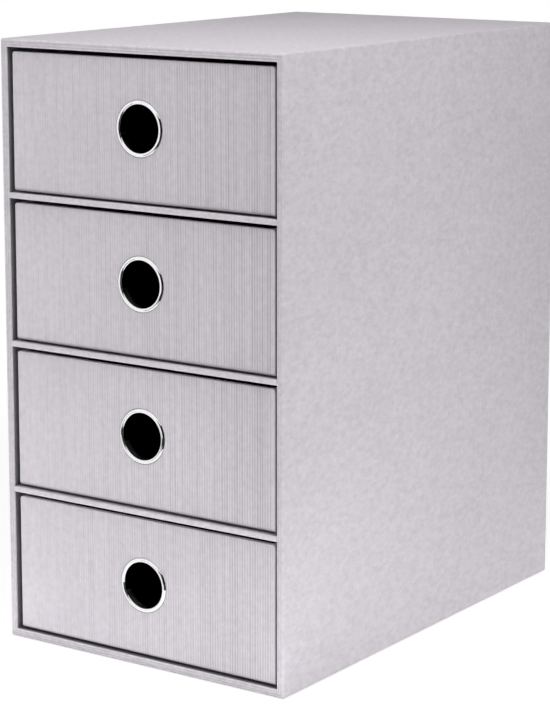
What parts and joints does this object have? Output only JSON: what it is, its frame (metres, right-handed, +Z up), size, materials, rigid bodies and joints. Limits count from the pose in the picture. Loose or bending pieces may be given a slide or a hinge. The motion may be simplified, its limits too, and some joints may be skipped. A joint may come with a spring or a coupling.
{
  "type": "desktop drawer cabinet",
  "caption": "Small paper-covered board cabinet for a desktop, with stacked slide-out drawers and a metal-ringed finger hole in each front.",
  "frame": {"origin": "middle of the base, on the surface that the cabinet stands on", "axes": "+Z up, -Y out of the drawer fronts, +X to the right of someone facing the fronts"},
  "size_m": [0.15, 0.228, 0.27],
  "materials": {
    "cabinet_cover": "finely ribbed matt cover paper",
    "shelf_cover": "finely ribbed matt cover paper",
    "drawer_cover": "finely ribbed matt cover paper",
    "plain_paper": "smooth matt paper",
    "lining_paper": "smooth matt paper",
    "drawer_lining": "smooth matt dark paper",
    "board": "raw grey board",
    "eyelet_metal": "polished nickel plate"
  },
  "bodies": {
    "cabinet": {"carcass_top_board": "board", "lining_top": "lining_paper", "carcass_bottom_board": "board", "lining_bottom": "lining_paper", "carcass_left_board": "board", "lining_left": "lining_paper", "carcass_right_board": "board", "lining_right": "lining_paper", "carcass_back_board": "board", "lining_back": "lining_paper", "carcass_cover": "cabinet_cover", "base_sheet": "plain_paper", "back_sheet": "plain_paper", "shelf_1_board": "board", "shelf_1_cover": "shelf_cover", "shelf_2_board": "board", "shelf_2_cover": "shelf_cover", "shelf_3_board": "board", "shelf_3_cover": "shelf_cover"},
    "drawer_1": {"drawer_1_front_board": "board", "drawer_1_rear_board": "board", "drawer_1_left_board": "board", "drawer_1_right_board": "board", "drawer_1_floor_board": "board", "drawer_1_cover": "drawer_cover", "drawer_1_lining": "drawer_lining", "drawer_1_eyelet": "eyelet_metal", "drawer_1_washer": "eyelet_metal"},
    "drawer_2": {"drawer_2_front_board": "board", "drawer_2_rear_board": "board", "drawer_2_left_board": "board", "drawer_2_right_board": "board", "drawer_2_floor_board": "board", "drawer_2_cover": "drawer_cover", "drawer_2_lining": "drawer_lining", "drawer_2_eyelet": "eyelet_metal", "drawer_2_washer": "eyelet_metal"},
    "drawer_3": {"drawer_3_front_board": "board", "drawer_3_rear_board": "board", "drawer_3_left_board": "board", "drawer_3_right_board": "board", "drawer_3_floor_board": "board", "drawer_3_cover": "drawer_cover", "drawer_3_lining": "drawer_lining", "drawer_3_eyelet": "eyelet_metal", "drawer_3_washer": "eyelet_metal"},
    "drawer_4": {"drawer_4_front_board": "board", "drawer_4_rear_board": "board", "drawer_4_left_board": "board", "drawer_4_right_board": "board", "drawer_4_floor_board": "board", "drawer_4_cover": "drawer_cover", "drawer_4_lining": "drawer_lining", "drawer_4_eyelet": "eyelet_metal", "drawer_4_washer": "eyelet_metal"}
  },
  "joints": [
    {"name": "drawer_1_slide", "type": "slide", "parent": "cabinet", "child": "drawer_1", "axis": [0, -1, 0], "range_m": [0, 0.175]},
    {"name": "drawer_2_slide", "type": "slide", "parent": "cabinet", "child": "drawer_2", "axis": [0, -1, 0], "range_m": [0, 0.175]},
    {"name": "drawer_3_slide", "type": "slide", "parent": "cabinet", "child": "drawer_3", "axis": [0, -1, 0], "range_m": [0, 0.175]},
    {"name": "drawer_4_slide", "type": "slide", "parent": "cabinet", "child": "drawer_4", "axis": [0, -1, 0], "range_m": [0, 0.175]}
  ]
}
